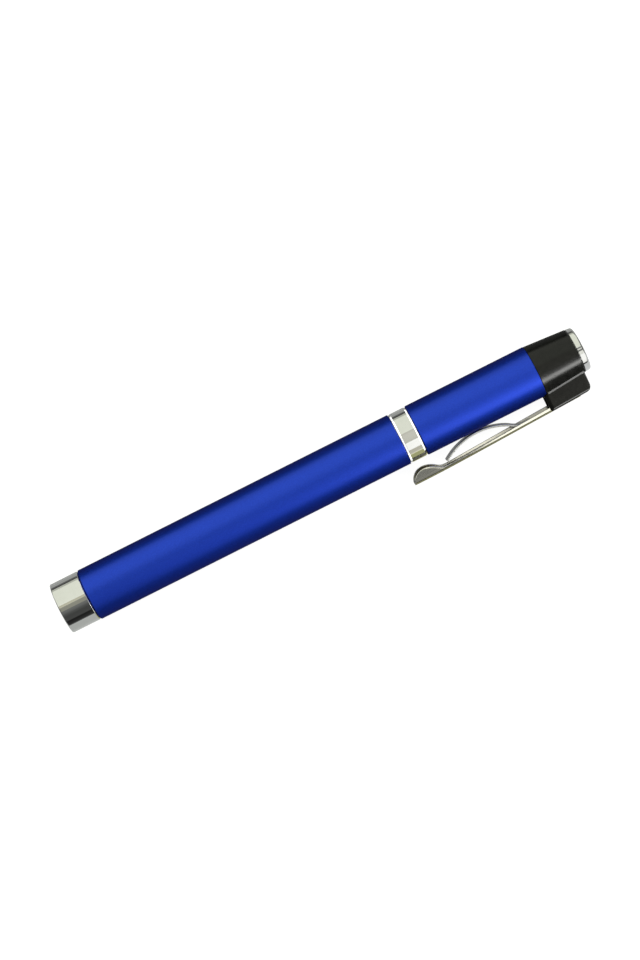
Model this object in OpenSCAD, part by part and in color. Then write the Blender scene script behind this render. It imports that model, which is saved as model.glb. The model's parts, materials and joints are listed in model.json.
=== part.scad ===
// Pocket penlight: two-length barrel, plated head, ring and tail plug, moulded collar
// and a rocking spring clip. Millimetres. The barrel lies along X with the head at -X
// and the tail at +X. The origin is on the barrel's axis at half its length, +Z is up,
// and the part is stored as it lies on a table: on the barrel and on the clip boss.

/* [Overall] */
// Overall length, head rim to tail plug
total_l = 135; // [134.5:0.1:136]
// Outside diameter of both tubes
tube_d = 12.6; // [12.5:0.05:12.8]
// Bore of both tubes
tube_bore_d = 10.9; // [10.8:0.05:10.9]

/* [Head] */
// Outside diameter of the plated head
head_d = 12.4; // [12.0:0.05:12.5]
// Visible length of the plated head
head_l = 7.2; // [7.0:0.1:7.4]
// Radius of the rounded front edge
head_round = 0.65; // [0.3:0.05:0.9]
// Clear aperture in front of the lens
aperture_d = 7.8; // [7.0:0.1:8.4]

/* [Coupling] */
// Distance of the plated ring from the head rim
ring_s = 87.85; // [87.7:0.05:88.0]
// Visible width of the plated ring
ring_w = 4.3; // [4.1:0.1:4.4]
// Outside diameter of the plated ring
ring_d = 12.4; // [12.2:0.05:12.45]
// Pitch of the barrel thread
thread_pitch = 0.8; // [0.8:0.05:0.9]

/* [Tail] */
// Distance of the collar's front face from the head rim
collar_s = 122.9; // [122.8:0.05:123.0]
// Length of the tapered collar
collar_l = 10.45; // [10.4:0.05:10.5]
// Collar diameter at its front
collar_d1 = 12.48; // [12.3:0.02:12.6]
// Collar diameter at the tail
collar_d2 = 11.0; // [10.8:0.02:11.1]
// Diameter of the tail plug's head
plug_d = 10.86; // [10.6:0.02:10.9]

/* [Clip] */
// Width of the clip
clip_w = 4.4; // [4.2:0.05:4.5]
// Sheet thickness of the clip
clip_t = 0.45; // [0.4:0.01:0.5]
// Depth of the channel section at the leaf spring
clip_h = 1.0; // [0.95:0.05:1.05]
// Distance of the clip's tip from the head rim
clip_tip_s = 86.3; // [86.2:0.1:86.5]
// Rise of the clip per millimetre towards its tip
clip_slope = 0.0365; // [0.035:0.0005:0.0375]
// Thickness of the bowed leaf spring
leaf_t = 0.45; // [0.4:0.01:0.48]
// Width of the bowed leaf spring
leaf_w = 3.2; // [2.6:0.1:3.4]
// Radius of the leaf spring's bow
leaf_r = 16; // [15.8:0.1:16.2]

/* [Cells] */
// Diameter of one cell over its wrap
cell_d = 10.3; // [10.1:0.05:10.35]
// Length of one cell with its nub
cell_l = 44.5; // [44.2:0.1:44.5]

/* [Hidden] */
$fn = 96;

tube_r = tube_d / 2;
bore_r = tube_bore_d / 2;
head_r = head_d / 2;
ring_r = ring_d / 2;
fit = 0.03;                       // fixed fits: clearance on the radius
spigot_r = bore_r - fit;
seam = 0.08;                      // hairline gap where a tube meets a plated piece

// barrel thread, right-handed, on the coupling ring's front spigot
male_root = 5.52;
male_crest = 5.80;
female_crest = 5.62;
female_root = 5.92;
spigot_bore = 5.25;
thread_s0 = ring_s - 4.55;
thread_turns = 4.4;
thread_seg = 28;

// axial stations inside the head and along the cells
lens_s = 0.92;
board_s = 13.62;
holder_s = 14.65;
cell1_s = 20.0;
cell2_s = cell1_s + cell_l + 0.02;
cell_end = cell2_s + cell_l;
plug_s = 122;                     // inner end of the tail plug's stem

// boss on the collar: side view in s (along the barrel) and c (out towards the clip)
boss_s = 122.15;
boss_end = collar_s + collar_l - 0.31;
boss_c1 = 9.97;
boss_c2 = 9.45;
boss_b = 3.15;
boss_edge = 0.3;
boss_corner = 1.6;
boss_tilt = atan2(boss_c1 - boss_c2, boss_end - boss_s);
slot_b = clip_w / 2 + 0.15;
slot_end = 130.3;
slot_floor = 6.85;

// clip pivot
pin_s = 127.5;
pin_c = 8.4;
pin_r = 0.6;

// the roll about the barrel's axis at which boss and barrel both touch the table
rest_a = boss_c1 - boss_edge - 1.1 * tan(boss_tilt);
rest_roll = asin(tube_r / norm([rest_a, boss_b])) - atan2(boss_b, rest_a);

// outer face of the clip at station s, levelling out towards the tip, and its flanges' free edge
function clip_c(s) = 10.21 + (122 - s) * clip_slope - pow(max(0, 100 - s), 2) * clip_slope / 27.4;
function flange_c(s) = 10.955 - clip_h - (s - 101.6) * 0.05;

// points on an arc about (x, y)
function arc(x, y, r, a0, a1, n = 6) =
    [for (i = [0:n]) let (a = a0 + (a1 - a0) * i / n) [x + r * cos(a), y + r * sin(a)]];

// puts a piece drawn with its head at s = 0 into the part's own frame
module place() rotate([rest_roll, 0, 0]) translate([-total_l / 2, 0, 0]) children();

// a turned piece: points are [radius, station]
module turned(p) rotate([0, 90, 0]) rotate_extrude() polygon(p);

// a side-view outline in [s, c], as thick as b1 - b0 across the barrel
module side(p, b0, b1)
    translate([0, 0, b0]) linear_extrude(b1 - b0) polygon([for (q = p) [q[0], -q[1]]]);

// a round rod across the barrel at station s, height c
module cross_rod(s, c, r, b0, b1) translate([s, -c, b0]) cylinder(r = r, h = b1 - b0, $fn = 48);

// a helical ridge of trapezoid section about Z, from radius ra (half width wa) to rb (wb)
module ridge(ra, wa, rb, wb, z0, pitch, turns, seg) {
    n = ceil(turns * seg);
    pts = [for (i = [0:n]) let (t = 360 * i / seg, z = z0 + pitch * i / seg)
           each [[ra * cos(t), ra * sin(t), z - wa], [rb * cos(t), rb * sin(t), z - wb],
                 [rb * cos(t), rb * sin(t), z + wb], [ra * cos(t), ra * sin(t), z + wa]]];
    flip = ra > rb;
    quad = [for (i = [0:n - 1]) for (k = [0:3])
            let (a = 4 * i + k, b = 4 * i + (k + 1) % 4) [a, b, b + 4, a + 4]];
    ends = [[3, 2, 1, 0], [4 * n, 4 * n + 1, 4 * n + 2, 4 * n + 3]];
    all = concat(quad, ends);
    polyhedron(pts, [for (f = all) flip ? [for (j = [len(f) - 1:-1:0]) f[j]] : f], convexity = 8);
}

// a coil spring about Z with closed ends
module coil(r, wire, z0, z1, turns, seg, sides) {
    n = turns * seg;
    dead = 0.9;
    function rise(t) = t < dead ? 2 * wire * t
        : t > turns - dead ? (z1 - z0 - 2 * wire) - 2 * wire * (turns - t)
        : 2 * wire * dead + (z1 - z0 - 2 * wire - 4 * wire * dead) * (t - dead) / (turns - 2 * dead);
    pts = [for (i = [0:n]) let (t = i / seg, z = z0 + wire + rise(t)) each
           [for (k = [0:sides - 1]) let (a = 360 * k / sides)
            [(r + wire * cos(a)) * cos(360 * t), (r + wire * cos(a)) * sin(360 * t), z + wire * sin(a)]]];
    quad = [for (i = [0:n - 1]) for (k = [0:sides - 1])
            let (a = sides * i + k, b = sides * i + (k + 1) % sides) [a, a + sides, b + sides, b]];
    polyhedron(pts, concat(quad, [[for (k = [0:sides - 1]) k],
                                  [for (k = [sides - 1:-1:0]) sides * n + k]]), convexity = 12);
}

// ---------------------------------------------------------------- head and lamp

// plated head: rounded front edge, bevelled aperture, chamfered rear edge, spigot
module head_bezel() color("gainsboro") place() turned(concat(
    [[aperture_d / 2, lens_s - 0.02], [aperture_d / 2 + 0.6, 0]],
    arc(head_r - head_round, head_round, head_round, -90, 0),
    [[head_r, head_l - 0.3], [head_r - 0.25, head_l], [spigot_r, head_l], [spigot_r, 12.95],
     [spigot_r - 0.25, 13.2], [4.6, 13.2], [4.6, lens_s - 0.02]]));

// clear window with a shallow dome in the aperture
module front_lens() color("aliceblue") place() turned(concat(
    [[0, 2.1], [0, 0.47]],
    [for (i = [1:6]) let (a = i * asin(3.75 / 15.6) / 6) [15.6 * sin(a), 0.47 + 15.6 * (1 - cos(a))]],
    [[3.75, lens_s + 0.02], [4.57, lens_s + 0.02], [4.57, 2.1]]));

// bright cup around the lamp
module reflector() color("whitesmoke") place() turned(concat(
    [for (i = [0:8]) let (s = 2.13 + (8.6 - 2.13) * i / 8) [2.62 + 1.58 * sqrt((8.6 - s) / 6.47), s]],
    [[3.2, 8.6], [3.3, 8.2], [4.57, 3.4], [4.57, 2.13]]));

// 5 mm lamp: dome, body and flange
module led_emitter() color("lightyellow") place() turned(concat(
    arc(0, 7.1, 2.5, -90, 0, 8),
    [[2.5, 10.18], [2.9, 10.18], [2.9, 11.2], [0, 11.2]]));

// the lamp's two legs
module led_leads() color("silver") place()
    for (b = [-1.27, 1.27]) translate([11.22, 0, b]) rotate([0, 90, 0]) cylinder(r = 0.25, h = 3.8, $fn = 24);

// insulating seat that centres the lamp in the head
module led_carrier() color("ivory") place() turned(
    [[2.56, 8.7], [4.57, 8.7], [4.57, 13.15], [2.96, 13.15], [2.96, 10.15], [2.56, 10.15]]);

// contact ring between the head's spigot and the board
module ground_ring() color("goldenrod") place() turned(
    [[4.65, 13.22], [5.4, 13.22], [5.4, 13.6], [4.65, 13.6]]);

// round board with holes for the legs and for the stud
module led_board() color("darkgreen") place() difference() {
    turned([[0.93, board_s], [5.38, board_s], [5.38, board_s + 1], [0.93, board_s + 1]]);
    for (b = [-1.27, 1.27]) translate([board_s - 1, 0, b]) rotate([0, 90, 0]) cylinder(r = 0.28, h = 3, $fn = 24);
}

// chip resistor on the board's rear
module series_resistor() color("dimgray") place()
    translate([board_s + 1.01, 2.2, -1.6]) cube([0.55, 1.5, 3.2]);

// stud that meets the first cell's nub
module positive_contact() color("goldenrod") place() turned(
    [[0, board_s], [0.9, board_s], [0.9, 18.8], [1.6, 18.8], [1.6, cell1_s - 0.17],
     [1.45, cell1_s - 0.02], [0, cell1_s - 0.02]]);

// insulating block with a recess that only a cell's nub can enter
module contact_holder() color("ivory") place() turned(
    [[0.93, 15.7], [0.93, 18.78], [1.65, 18.78], [1.65, 19.5], [2.4, 19.5], [2.4, 20.4],
     [5.42, 20.4], [5.42, holder_s], [4.3, holder_s], [4.3, 15.7]]);

// long blue tube: plain bore, female barrel thread at the rear
module front_tube() color("mediumblue") place() union() {
    turned(concat(
        [[bore_r, head_l + seam]],
        arc(tube_r - 0.15, head_l + seam + 0.15, 0.15, -90, 0, 4),
        arc(tube_r - 0.1, ring_s - seam - 0.1, 0.1, 0, 90, 4),
        [[female_root, ring_s - seam], [female_root, ring_s - 5.4], [bore_r, ring_s - 5.9]]));
    rotate([0, 90, 0]) ridge(female_root + 0.06, 0.27, female_crest, 0.10,
                             thread_s0 + thread_pitch / 2, thread_pitch, thread_turns, thread_seg);
}

// ---------------------------------------------------------------- cells

module cell_can(s0) turned(concat(
    [[0, s0]], arc(1.65, s0 + 0.25, 0.25, -90, 0, 4),
    [[1.9, s0 + 0.9], [4.5, s0 + 0.9]],
    arc(cell_d / 2 - 0.5, s0 + 1.3, 0.4, -90, 0, 4),
    arc(cell_d / 2 - 0.4, s0 + cell_l - 0.7, 0.3, 0, 90, 4),
    [[4.55, s0 + cell_l - 0.4], [4.55, s0 + cell_l - 0.95], [0, s0 + cell_l - 0.95]]));

module cell_wrap(s0) turned(
    [[cell_d / 2 - 0.08, s0 + 1.5], [cell_d / 2, s0 + 1.5], [cell_d / 2, s0 + cell_l - 0.9],
     [cell_d / 2 - 0.08, s0 + cell_l - 0.9]]);

module cell_base(s0) turned(
    [[0, s0 + cell_l - 0.93], [4.45, s0 + cell_l - 0.93], [4.45, s0 + cell_l - 0.45],
     [3.6, s0 + cell_l - 0.45], [3.3, s0 + cell_l], [0, s0 + cell_l]]);

// first cell: steel can with its nub, printed wrap, base plate
module front_cell_can() color("silver") place() cell_can(cell1_s);
module front_cell_wrap() color("slategray") place() cell_wrap(cell1_s);
module front_cell_base() color("lightgray") place() cell_base(cell1_s);

// second cell
module rear_cell_can() color("silver") place() cell_can(cell2_s);
module rear_cell_wrap() color("slategray") place() cell_wrap(cell2_s);
module rear_cell_base() color("lightgray") place() cell_base(cell2_s);

// ---------------------------------------------------------------- rear barrel

// plated ring: threaded spigot for the front tube, plain spigot in the rear tube
module coupling_ring() color("gainsboro") place() union() {
    turned([[spigot_bore, ring_s - 5], [male_root - 0.1, ring_s - 5], [male_root, ring_s - 4.9],
            [male_root, ring_s], [ring_r - 0.2, ring_s], [ring_r, ring_s + 0.45],
            [ring_r, ring_s + ring_w - 0.45], [ring_r - 0.2, ring_s + ring_w], [5.72, ring_s + ring_w],
            [5.72, ring_s + ring_w + 5.3], [5.52, ring_s + ring_w + 5.5], [spigot_bore, ring_s + ring_w + 5.5]]);
    rotate([0, 90, 0]) ridge(male_root - 0.06, 0.27, male_crest, 0.10,
                             thread_s0, thread_pitch, thread_turns, thread_seg);
}

// short blue tube
module rear_tube() color("mediumblue") place() turned(concat(
    [[5.75, ring_s + ring_w + seam]],
    arc(tube_r - 0.1, ring_s + ring_w + seam + 0.1, 0.1, -90, 0, 4),
    arc(tube_r - 0.12, collar_s - 0.14, 0.12, 0, 90, 3),
    [[bore_r, collar_s - 0.02], [bore_r, ring_s + ring_w + 5.6], [5.75, ring_s + ring_w + 5.6]]));

// block that becomes the clip boss
module boss_blank() intersection() {
    side(concat([[boss_s, 5], [boss_s, boss_c1 - 0.15], [boss_s + 0.15, boss_c1]],
                arc(boss_end - boss_corner - 0.02, boss_c2 - boss_corner, boss_corner, 90, 8, 5),
                [[boss_end + 0.2, 5]]), -boss_b, boss_b);
    // plan view: rounded upright corners
    rotate([90, 0, 0]) linear_extrude(14) union() {
        translate([boss_s + 1.1, -boss_b]) square([boss_end + 1 - boss_s - 2.2, 2 * boss_b]);
        translate([boss_s, 1.1 - boss_b]) square([boss_end + 1 - boss_s, 2 * boss_b - 2.2]);
        for (x = [boss_s + 1.1, boss_end - 0.1], b = [-1, 1])
            translate([x, b * (boss_b - 1.1)]) circle(r = 1.1, $fn = 48);
    }
    // section: bevelled outer edges, following the outer face's slope
    translate([boss_s, -boss_c1, 0]) rotate([0, 0, boss_tilt]) rotate([0, 90, 0]) translate([0, 0, -2])
        linear_extrude(16) polygon([[boss_b - boss_edge, 0], [boss_b, boss_edge], [boss_b, 7],
                                    [-boss_b, 7], [-boss_b, boss_edge], [boss_edge - boss_b, 0]]);
}

// black moulded collar: taper, clip boss with its slot, spigot with the spring chamber
module tail_collar() color([0.07, 0.07, 0.08]) place() difference() {
    union() {
        turned([[0, 112.5], [spigot_r - 0.3, 112.5], [spigot_r, 112.9], [spigot_r, collar_s],
                [collar_d1 / 2 - 0.12, collar_s], [collar_d1 / 2, collar_s + 0.15],
                [collar_d2 / 2 + 0.02, collar_s + collar_l - 0.2], [collar_d2 / 2 - 0.2, collar_s + collar_l],
                [0, collar_s + collar_l]]);
        difference() {
            boss_blank();
            translate([110, 0, 0]) rotate([0, 90, 0]) cylinder(r = tube_r + 0.06, h = collar_s - 110);
            translate([110, 0, 0]) rotate([0, 90, 0]) cylinder(r = 5, h = 40);
        }
    }
    // spring chamber and plug bore
    translate([110, 0, 0]) rotate([0, 90, 0]) cylinder(r = 4.6, h = plug_s - 110);
    translate([110, 0, 0]) rotate([0, 90, 0]) cylinder(r = 4.0, h = 40);
    // slot for the clip's foot, open to the front and outwards
    side([[120, 6.37], [collar_s + 0.6, 6.37], [collar_s + 1.2, slot_floor], [slot_end, slot_floor],
          [slot_end, 12], [120, 12]], -slot_b, slot_b);
    // pin hole, blind in one cheek
    cross_rod(pin_s, pin_c, pin_r + 0.01, -4, 2.8);
    // passage for the contact stud
    translate([pin_s, 0, 0]) rotate([90, 0, 0]) cylinder(r = 0.72, h = 8, $fn = 48);
}

// coil spring behind the cells
module tail_spring() color("lightsteelblue") place() rotate([0, 90, 0])
    coil(3.4, 0.3, cell_end + 0.03, plug_s - 0.03, 7, 14, 8);

// plated plug: stem, seat and rounded head
module tail_plug() color("gainsboro") place() turned(concat(
    [[0, plug_s], [3.7, plug_s], [3.95, plug_s + 0.25], [3.95, collar_s + collar_l + 0.02],
     [4.7, collar_s + collar_l + 0.02], [4.7, collar_s + collar_l + 0.1],
     [plug_d / 2 - 0.06, collar_s + collar_l + 0.1], [plug_d / 2, collar_s + collar_l + 0.16]],
    arc(plug_d / 2 - 0.7, total_l - 0.6, 0.6, 0, 90, 6),
    [[0, total_l]]));

// cross pin that the clip rocks on
module clip_pin() color("silver") place() cross_rod(pin_s, pin_c, pin_r, -boss_b + 0.05, 2.75);

// stud from the tail plug to the clip pin
module clip_contact() color("goldenrod") place()
    translate([pin_s, -4.02, 0]) rotate([90, 0, 0]) cylinder(r = 0.7, h = pin_c - pin_r - 0.03 - 4.02, $fn = 48);

// ---------------------------------------------------------------- clip

// side outline of one flange: tip ear, long edge, pivot ear
function flange_outline() = concat(
    [[clip_tip_s + 0.05, clip_c(clip_tip_s + 0.05)], [clip_tip_s + 0.12, 10.75], [clip_tip_s + 0.28, 10.3],
     [clip_tip_s + 0.68, 9.68], [clip_tip_s + 1.18, 9.14], [clip_tip_s + 1.73, 8.75], [clip_tip_s + 2.36, 8.49],
     [clip_tip_s + 3.0, 8.38], [clip_tip_s + 3.6, 8.37], [clip_tip_s + 4.2, 8.43], [clip_tip_s + 4.9, 8.61],
     [clip_tip_s + 5.6, 8.9], [clip_tip_s + 6.3, 9.31], [clip_tip_s + 7.0, 9.79], [clip_tip_s + 7.7, 10.11],
     [clip_tip_s + 8.4, 10.22]],
    [for (s = [96.2, 123.4]) [s, flange_c(s)]],
    [[125.6, 8.0], [126.4, 7.35], [127.5, 7.12], [129.3, 6.95], [130, 7.55]],
    [for (s = [130, 100, 96.5, 93, 89.5]) [s, clip_c(s)]]);

// channel-section clip: web, two flanges with tip ears and pivot ears
module clip() color("silver") place() difference() {
    union() {
        intersection() {
            side(concat([for (s = [clip_tip_s, 89.5, 93, 96.5, 100, 130]) [s, clip_c(s)]],
                        [for (s = [130, 100, 96.5, 93, 89.5, clip_tip_s]) [s, clip_c(s) - clip_t]]),
                 -clip_w / 2, clip_w / 2);
            rotate([90, 0, 0]) linear_extrude(14) union() {
                translate([clip_tip_s + 0.8, -clip_w / 2]) square([50, clip_w]);
                translate([clip_tip_s, 0.8 - clip_w / 2]) square([50, clip_w - 1.6]);
                for (b = [-1, 1]) translate([clip_tip_s + 0.8, b * (clip_w / 2 - 0.8)]) circle(r = 0.8, $fn = 48);
            }
        }
        for (b = [-clip_w / 2, clip_w / 2 - clip_t]) side(flange_outline(), b, b + clip_t);
    }
    cross_rod(pin_s, pin_c, pin_r + 0.05, -4, 4);
}

// bowed leaf: arc, bend and foot, as barrel-side and clip-side edges
leaf_apex = 104.54;
leaf_c0 = tube_r + 0.07;
leaf_a0 = -35;
leaf_a1 = asin(7.5 / leaf_r);
function leaf_pt(a, r) = [leaf_apex + r * sin(a), leaf_c0 + leaf_r - r * cos(a)];
function foot_c(s) = clip_c(s) - clip_t - 0.02;

// bowed leaf spring, its foot flat on the clip's web, its bow on the barrel
module clip_spring() color("lightslategray") place() side(concat(
    [for (i = [0:20]) leaf_pt(leaf_a0 + (leaf_a1 - leaf_a0) * i / 20, leaf_r)],
    [[112.6, 8.57], [113.2, 8.91], [113.9, 9.21], [114.7, 9.43], [115.5, foot_c(115.5) - leaf_t],
     [117.2, foot_c(117.2) - leaf_t], [117.2, foot_c(117.2)], [115.4, foot_c(115.4)],
     [114.53, 9.88], [113.68, 9.64], [112.94, 9.33], [112.31, 8.97]],
    [for (i = [20:-1:0]) leaf_pt(leaf_a0 + (leaf_a1 - leaf_a0) * i / 20, leaf_r - leaf_t)]),
    -leaf_w / 2, leaf_w / 2);

head_bezel();
front_lens();
reflector();
led_emitter();
led_leads();
led_carrier();
ground_ring();
led_board();
series_resistor();
positive_contact();
contact_holder();
front_tube();
front_cell_can();
front_cell_wrap();
front_cell_base();
rear_cell_can();
rear_cell_wrap();
rear_cell_base();
coupling_ring();
rear_tube();
tail_collar();
tail_spring();
tail_plug();
clip_pin();
clip_contact();
clip();
clip_spring();
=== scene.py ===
import bpy, bmesh, json, math
import numpy as np
from mathutils import Vector, Matrix

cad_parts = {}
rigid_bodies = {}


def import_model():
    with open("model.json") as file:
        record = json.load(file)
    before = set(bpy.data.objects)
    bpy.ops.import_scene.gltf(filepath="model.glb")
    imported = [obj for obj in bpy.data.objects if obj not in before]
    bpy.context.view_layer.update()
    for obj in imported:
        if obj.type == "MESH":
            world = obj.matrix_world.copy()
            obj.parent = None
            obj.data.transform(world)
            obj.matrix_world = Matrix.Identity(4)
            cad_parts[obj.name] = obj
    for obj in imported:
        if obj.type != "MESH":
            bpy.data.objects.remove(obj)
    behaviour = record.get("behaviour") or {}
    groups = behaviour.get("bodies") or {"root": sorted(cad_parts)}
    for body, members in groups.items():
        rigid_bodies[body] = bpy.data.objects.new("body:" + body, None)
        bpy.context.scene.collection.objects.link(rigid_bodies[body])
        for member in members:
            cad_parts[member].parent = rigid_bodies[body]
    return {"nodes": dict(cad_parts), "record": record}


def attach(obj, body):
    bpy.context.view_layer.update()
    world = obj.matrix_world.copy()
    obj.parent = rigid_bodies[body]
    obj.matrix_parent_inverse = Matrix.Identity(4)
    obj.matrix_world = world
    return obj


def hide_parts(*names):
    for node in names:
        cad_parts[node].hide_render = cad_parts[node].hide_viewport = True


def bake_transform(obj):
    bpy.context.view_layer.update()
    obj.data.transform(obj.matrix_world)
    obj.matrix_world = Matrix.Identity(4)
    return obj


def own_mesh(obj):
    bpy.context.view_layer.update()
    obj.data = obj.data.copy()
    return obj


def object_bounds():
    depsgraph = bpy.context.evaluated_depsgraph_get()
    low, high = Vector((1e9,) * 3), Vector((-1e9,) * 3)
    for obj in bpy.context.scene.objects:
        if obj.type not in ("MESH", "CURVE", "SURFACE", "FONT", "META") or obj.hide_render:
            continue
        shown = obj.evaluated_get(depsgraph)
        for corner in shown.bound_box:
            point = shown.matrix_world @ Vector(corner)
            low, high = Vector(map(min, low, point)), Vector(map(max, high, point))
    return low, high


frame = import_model()
cad_lo, cad_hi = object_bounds()
nodes = frame["nodes"]

# ------------------------------------------------------------------ the part's own directions
# s runs along the barrel from the head rim, c points from the axis to the clip, b runs across
# the clip. All shapes below are in millimetres in (s, b, c), which is a right-handed set.
ROLL = math.radians(20.365114510200)
CV = (-math.cos(ROLL), -math.sin(ROLL))
BV = (-math.sin(ROLL), math.cos(ROLL))
HALF = 67.5


def world(p):
    """(n, 3) points (s, b, c) in mm -> world metres."""
    p = np.asarray(p, float).reshape(-1, 3)
    out = np.empty_like(p)
    out[:, 0] = p[:, 0] - HALF
    out[:, 1] = p[:, 2] * CV[0] + p[:, 1] * BV[0]
    out[:, 2] = p[:, 2] * CV[1] + p[:, 1] * BV[1]
    return out * 0.001


# ------------------------------------------------------------------ mesh helpers
def make_object(name, points, faces, smooth=True, normals=None):
    me = bpy.data.meshes.new(name)
    me.from_pydata([tuple(q) for q in world(points)], [], [tuple(int(i) for i in f) for f in faces])
    bm = bmesh.new()
    bm.from_mesh(me)
    bmesh.ops.recalc_face_normals(bm, faces=bm.faces)
    bm.to_mesh(me)
    bm.free()
    me.update()
    ob = bpy.data.objects.new(name, me)
    bpy.context.scene.collection.objects.link(ob)
    if smooth:
        me.shade_smooth()
    if normals is not None:
        n = world(normals) + np.array([HALF * 0.001, 0, 0])
        n /= np.maximum(np.linalg.norm(n, axis=1, keepdims=True), 1e-12)
        me.normals_split_custom_set_from_vertices([tuple(q) for q in n])
    return ob


def rounded(path, closed=True, tie=0.04):
    """Outline from (r, s, radius) corners: each corner is an arc, with a tie point just past
    both ends of the arc, so that the flat stretches stay flat in smooth shading."""
    n = len(path)
    out = []
    for i, (r, s, rad) in enumerate(path):
        p = np.array([r, s], float)
        if not closed and i in (0, n - 1) or rad <= 0:
            out.append(p)
            continue
        a = np.array(path[i - 1][:2], float) - p
        b = np.array(path[(i + 1) % n][:2], float) - p
        la, lb = np.linalg.norm(a), np.linalg.norm(b)
        a, b = a / la, b / lb
        turn = math.pi - math.acos(max(-1.0, min(1.0, float(a @ b))))
        if turn < 0.02:
            out.append(p)
            continue
        t = min(rad * math.tan(turn / 2), 0.46 * la, 0.46 * lb)
        rr = t / math.tan(turn / 2)
        mid = (a + b) / np.linalg.norm(a + b)
        centre = p + mid * rr / math.cos(turn / 2)
        k = max(3, int(math.ceil(turn / math.radians(11))))
        p0, p1 = p + a * t, p + b * t
        if la - t > 4 * tie:
            out.append(p0 + a * tie)
        v0, v1 = p0 - centre, p1 - centre
        for j in range(k + 1):
            w = j / k
            v = (math.sin((1 - w) * turn) * v0 + math.sin(w * turn) * v1) / math.sin(turn)
            out.append(centre + v)
        if lb - t > 4 * tie:
            out.append(p1 + b * tie)
    return out


def lathe_data(profile, segs=192, closed=True):
    """Points and faces of a turned shape. profile is a list of (r, s); an open profile starts
    and ends on the axis."""
    ang = 2 * math.pi * np.arange(segs) / segs
    pts, faces, rows = [], [], []
    count = 0
    for r, s in profile:
        if r < 1e-6:
            pts.append([[s, 0.0, 0.0]])
            rows.append((count, 1))
            count += 1
        else:
            pts.append(np.stack([np.full(segs, s), r * np.sin(ang), r * np.cos(ang)], 1))
            rows.append((count, segs))
            count += segs
    m = len(rows)
    for i in range(m if closed else m - 1):
        (a, na), (b, nb) = rows[i], rows[(i + 1) % m]
        if na == 1 and nb == 1:
            continue
        for j in range(segs):
            k = (j + 1) % segs
            if na == 1:
                faces.append((a, b + j, b + k))
            elif nb == 1:
                faces.append((a + j, b, a + k))
            else:
                faces.append((a + j, b + j, b + k, a + k))
    return np.concatenate([np.asarray(p, float) for p in pts]), faces


def lathe(name, path, segs=192, closed=True):
    p, f = lathe_data(rounded(path, closed), segs, closed)
    return make_object(name, p, f)


def merge(*parts):
    """Joins (points, faces) sets into one."""
    pts, faces, off = [], [], 0
    for p, f in parts:
        pts.append(np.asarray(p, float))
        faces += [tuple(i + off for i in q) for q in f]
        off += len(p)
    return np.concatenate(pts), faces


def helix_ridge(r_root, r_crest, w_root, w_crest, s0, pitch, turns, seg=72):
    """A thread ridge of rounded trapezoid section that fades out at both ends."""
    n = int(turns * seg)
    shape = [(0.0, -w_root), (0.72, -w_crest * 1.25), (0.96, -w_crest * 0.75), (1.0, 0.0),
             (0.96, w_crest * 0.75), (0.72, w_crest * 1.25), (0.0, w_root)]
    m = len(shape)
    pts, faces = [], []
    for i in range(n + 1):
        t = i / seg
        fade = min(1.0, t / 0.35, (turns - t) / 0.35)
        fade = max(0.02, fade)
        a = 2 * math.pi * t
        for h, w in shape:
            r = r_root + (r_crest - r_root) * h * fade
            pts.append((s0 + pitch * t + w, -r * math.sin(a), r * math.cos(a)))
    for i in range(n):
        for k in range(m):
            a, b = i * m + k, i * m + (k + 1) % m
            faces.append((a, b, b + m, a + m))
    faces.append(tuple(range(m)))
    faces.append(tuple(n * m + k for k in reversed(range(m))))
    return np.array(pts), faces


def sweep(path, section, up=None):
    """A closed strip or wire: section points (u, v) carried along (s, c) path points with their
    normals, u across (b) and v along the path's normal."""
    pts, faces = [], []
    m = len(section)
    for (s, c), (ns, nc) in path:
        for u, v in section:
            pts.append((s + ns * v, u, c + nc * v))
    for i in range(len(path) - 1):
        for k in range(m):
            a, b = i * m + k, i * m + (k + 1) % m
            faces.append((a, b, b + m, a + m))
    last = (len(path) - 1) * m
    faces.append(tuple(range(m)))
    faces.append(tuple(last + k for k in reversed(range(m))))
    return np.array(pts), faces


def coil_data(radius, wire, s0, s1, turns, seg=44, sides=14):
    """Closed-end coil spring between stations s0 and s1."""
    n = int(turns * seg)
    dead = 0.9
    free = (s1 - s0 - 2 * wire)

    def rise(t):
        if t < dead:
            return 2 * wire * t
        if t > turns - dead:
            return free - 2 * wire * (turns - t)
        return 2 * wire * dead + (free - 4 * wire * dead) * (t - dead) / (turns - 2 * dead)
    pts, faces = [], []
    for i in range(n + 1):
        t = i / seg
        s = s0 + wire + rise(t)
        a = 2 * math.pi * t
        tip = min(1.0, 0.35 + 6 * t, 0.35 + 6 * (turns - t))
        for k in range(sides):
            q = 2 * math.pi * k / sides
            r = radius + wire * tip * math.cos(q)
            pts.append((s + wire * tip * math.sin(q), -r * math.sin(a), r * math.cos(a)))
    for i in range(n):
        for k in range(sides):
            a, b = i * sides + k, i * sides + (k + 1) % sides
            faces.append((a, b, b + sides, a + sides))
    faces.append(tuple(range(sides)))
    faces.append(tuple(n * sides + k for k in reversed(range(sides))))
    return np.array(pts), faces


# ------------------------------------------------------------------ shapes from distance functions
def round_and(a, b, r):
    """Intersection of two shapes with the common edge rounded to radius r."""
    u = np.maximum(r + a, 0.0)
    v = np.maximum(r + b, 0.0)
    return np.minimum(-r, np.maximum(a, b)) + np.sqrt(u * u + v * v)


def round_or(a, b, r):
    """Union of two shapes with a fillet of radius r between them."""
    u = np.maximum(r - a, 0.0)
    v = np.maximum(r - b, 0.0)
    return np.maximum(r, np.minimum(a, b)) - np.sqrt(u * u + v * v)


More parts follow.
